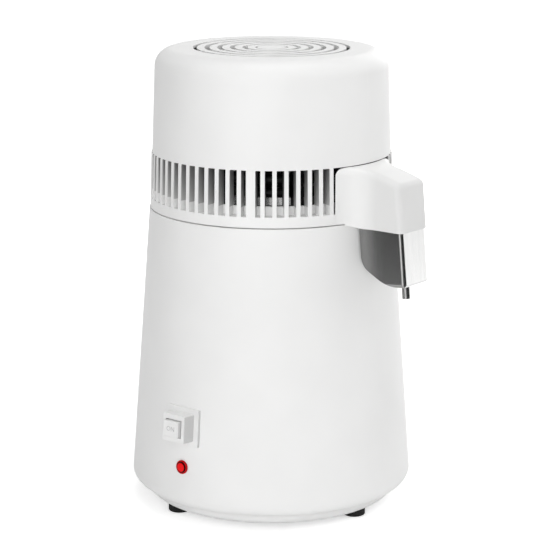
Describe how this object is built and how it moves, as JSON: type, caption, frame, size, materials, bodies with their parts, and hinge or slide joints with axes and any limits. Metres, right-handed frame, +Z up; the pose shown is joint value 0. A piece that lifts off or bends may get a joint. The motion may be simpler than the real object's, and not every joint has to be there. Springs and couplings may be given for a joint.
{
  "type": "countertop water distiller",
  "caption": "White tapered countertop water distiller: a heated tank in a round housing under a lift-off head with a louvred ring, top fan grille, spout hood and stainless filter cup.",
  "frame": {"origin": "on the axis of the round body at counter level, under the feet", "axes": "+Z up, +X towards the spout, -Y towards the power button"},
  "size_m": [0.2607, 0.2406, 0.368],
  "materials": {
    "white_shell": "satin moulded plastic, near white",
    "switch_plastic": "fine satin plastic, near white",
    "red_lens": "clear red, polished",
    "lamp_glass": "clear bulb",
    "black_plastic": "fine spark-eroded grain",
    "foot_rubber": "matt moulded rubber",
    "stainless": "fine brushed stainless steel",
    "coated_metal": "thin black coating",
    "silicone": "milky silicone",
    "aluminium": "bare mill finish",
    "fan_plastic": "dark moulded plastic",
    "zinc_steel": "zinc plated",
    "bare_steel": "bare steel",
    "brass_contacts": "bright brass",
    "phenolic": "dark moulded resin",
    "winding_tape": "yellow wrapping tape over enamelled wire",
    "live_insulation": "smooth brown insulation",
    "neutral_insulation": "smooth blue insulation"
  },
  "bodies": {
    "boiler": {"outer_housing": "white_shell", "base_cover": "white_shell", "base_screws": "zinc_steel", "boiling_tank": "stainless", "heater_plate": "aluminium", "heater_element": "bare_steel", "heater_clamp": "zinc_steel", "clamp_nut": "zinc_steel", "thermostat": "phenolic", "thermal_cutout": "phenolic", "switch_bezel": "switch_plastic", "switch_body": "black_plastic", "indicator_lens": "red_lens", "indicator_lamp": "lamp_glass", "mains_inlet": "black_plastic", "mains_pins": "brass_contacts", "mains_screws": "zinc_steel", "fan_outlet": "black_plastic", "fan_outlet_contacts": "brass_contacts", "rubber_foot_1": "foot_rubber", "rubber_foot_2": "foot_rubber", "rubber_foot_3": "foot_rubber", "rubber_foot_4": "foot_rubber", "live_wire": "live_insulation", "switch_wire": "live_insulation", "heater_wire": "live_insulation", "neutral_wire": "neutral_insulation", "return_wire": "neutral_insulation"},
    "head": {"lid_seal": "silicone", "lid_plate": "stainless", "vent_ring": "white_shell", "dome_cover": "white_shell", "dome_screws": "zinc_steel", "condenser_coil": "coated_metal", "steam_riser": "stainless", "outlet_nozzle": "silicone", "condenser_fins": "coated_metal", "motor_stand": "zinc_steel", "stand_rivets": "zinc_steel", "lower_bracket": "aluminium", "upper_bracket": "aluminium", "lower_bearing": "brass_contacts", "upper_bearing": "brass_contacts", "motor_core": "bare_steel", "motor_winding": "winding_tape", "motor_screws": "zinc_steel", "fan_inlet": "black_plastic", "fan_inlet_pins": "brass_contacts", "fan_wire_1": "live_insulation", "fan_wire_2": "neutral_insulation"},
    "fan": {"fan_shaft": "bare_steel", "motor_rotor": "bare_steel", "fan_blade": "fan_plastic", "fan_nut": "zinc_steel"},
    "filter_cup": {"filter_cup": "stainless", "cup_outlet": "stainless"},
    "power_button": {"power_button": "switch_plastic"}
  },
  "joints": [
    {"name": "head_lift", "type": "slide", "parent": "boiler", "child": "head", "axis": [0, 0, 1], "range_m": [0, 0.15]},
    {"name": "fan_spin", "type": "hinge", "parent": "head", "child": "fan", "pos_m": [0, 0, 0.3], "axis": [0, 0, 1], "continuous": true},
    {"name": "filter_cup_pull", "type": "slide", "parent": "head", "child": "filter_cup", "axis": [0.0958, 0, -0.9954], "range_m": [0, 0.03]},
    {"name": "power_button_press", "type": "slide", "parent": "boiler", "child": "power_button", "axis": [0, 0.9973, -0.0736], "range_m": [0, 0.003], "stiffness_N_per_m": 400}
  ]
}
